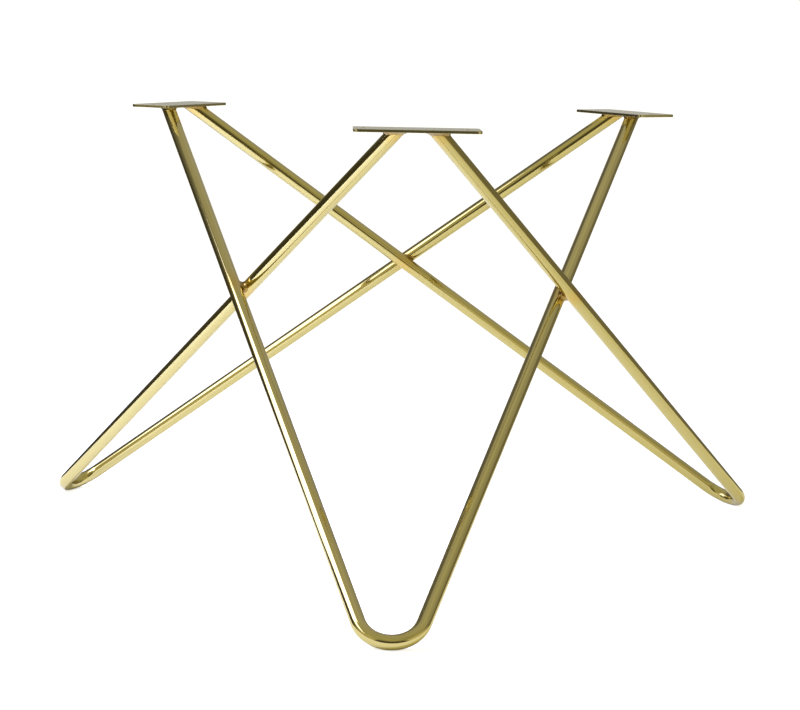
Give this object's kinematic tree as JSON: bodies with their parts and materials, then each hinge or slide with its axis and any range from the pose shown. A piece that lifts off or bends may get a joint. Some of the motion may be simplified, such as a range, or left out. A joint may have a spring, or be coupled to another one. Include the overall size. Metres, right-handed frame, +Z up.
{
  "type": "table base",
  "caption": "Coffee table base of bent round tubes: each V stands on its bend, leans in past its neighbours and is welded to them and under flat top plates.",
  "frame": {"origin": "on the floor, on the base's threefold axis", "axes": "+Z up along the threefold axis; the front plate lies on the -Y side with its long side along X"},
  "size_m": [0.6965, 0.627, 0.4],
  "materials": {
    "plated_tube": "polished",
    "plated_plate": "satin",
    "weld_bead": "gloss"
  },
  "bodies": {
    "root": {"front_leg_tube": "plated_tube", "front_mounting_plate": "plated_plate", "right_leg_tube": "plated_tube", "right_mounting_plate": "plated_plate", "left_leg_tube": "plated_tube", "left_mounting_plate": "plated_plate", "plate_welds": "weld_bead", "crossing_welds": "weld_bead"}
  },
  "joints": []
}
